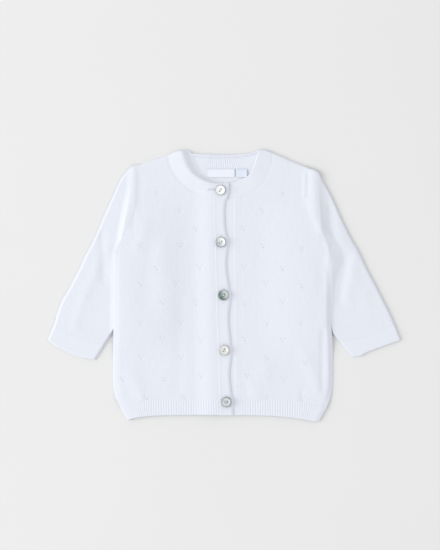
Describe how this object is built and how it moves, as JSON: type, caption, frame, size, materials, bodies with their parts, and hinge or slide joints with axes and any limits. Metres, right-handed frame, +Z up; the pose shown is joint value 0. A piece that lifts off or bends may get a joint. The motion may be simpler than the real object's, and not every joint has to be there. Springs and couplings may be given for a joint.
{
  "type": "baby cardigan",
  "caption": "Baby cardigan in fine knit, buttoned and laid flat, with ribbed neckband, front bands, cuffs and hem, shell buttons and small pointelle holes.",
  "frame": {"origin": "middle of the underside of the whole garment, on the surface that it lies on", "axes": "+X across the garment from cuff to cuff, towards the wearer's left side; +Y from the hem to the neck; +Z up out of the front"},
  "size_m": [0.3796, 0.2926, 0.0098],
  "materials": {
    "knit": "matt white fine-gauge stockinette knit with a cool cast",
    "ribbing": "matt white fine one-by-one rib knit",
    "shell_button": "polished grey mother-of-pearl look with a pale rim",
    "label": "smooth woven satin label, bare",
    "size_tab": "smooth woven satin tab, pale blue, bare"
  },
  "bodies": {
    "root": {"back": "knit", "front_right": "knit", "front_left": "knit", "sleeve_right": "knit", "sleeve_left": "knit", "cuff_right": "ribbing", "cuff_left": "ribbing", "hem_rib_right": "ribbing", "hem_rib_left": "ribbing", "hem_rib_back": "ribbing", "neckband_right": "ribbing", "neckband_left": "ribbing", "neckband_back": "ribbing", "buttonhole_band": "ribbing", "button_band": "ribbing", "button_1": "shell_button", "button_2": "shell_button", "button_3": "shell_button", "button_4": "shell_button", "button_5": "shell_button", "label": "label", "size_tab": "size_tab"}
  },
  "joints": []
}
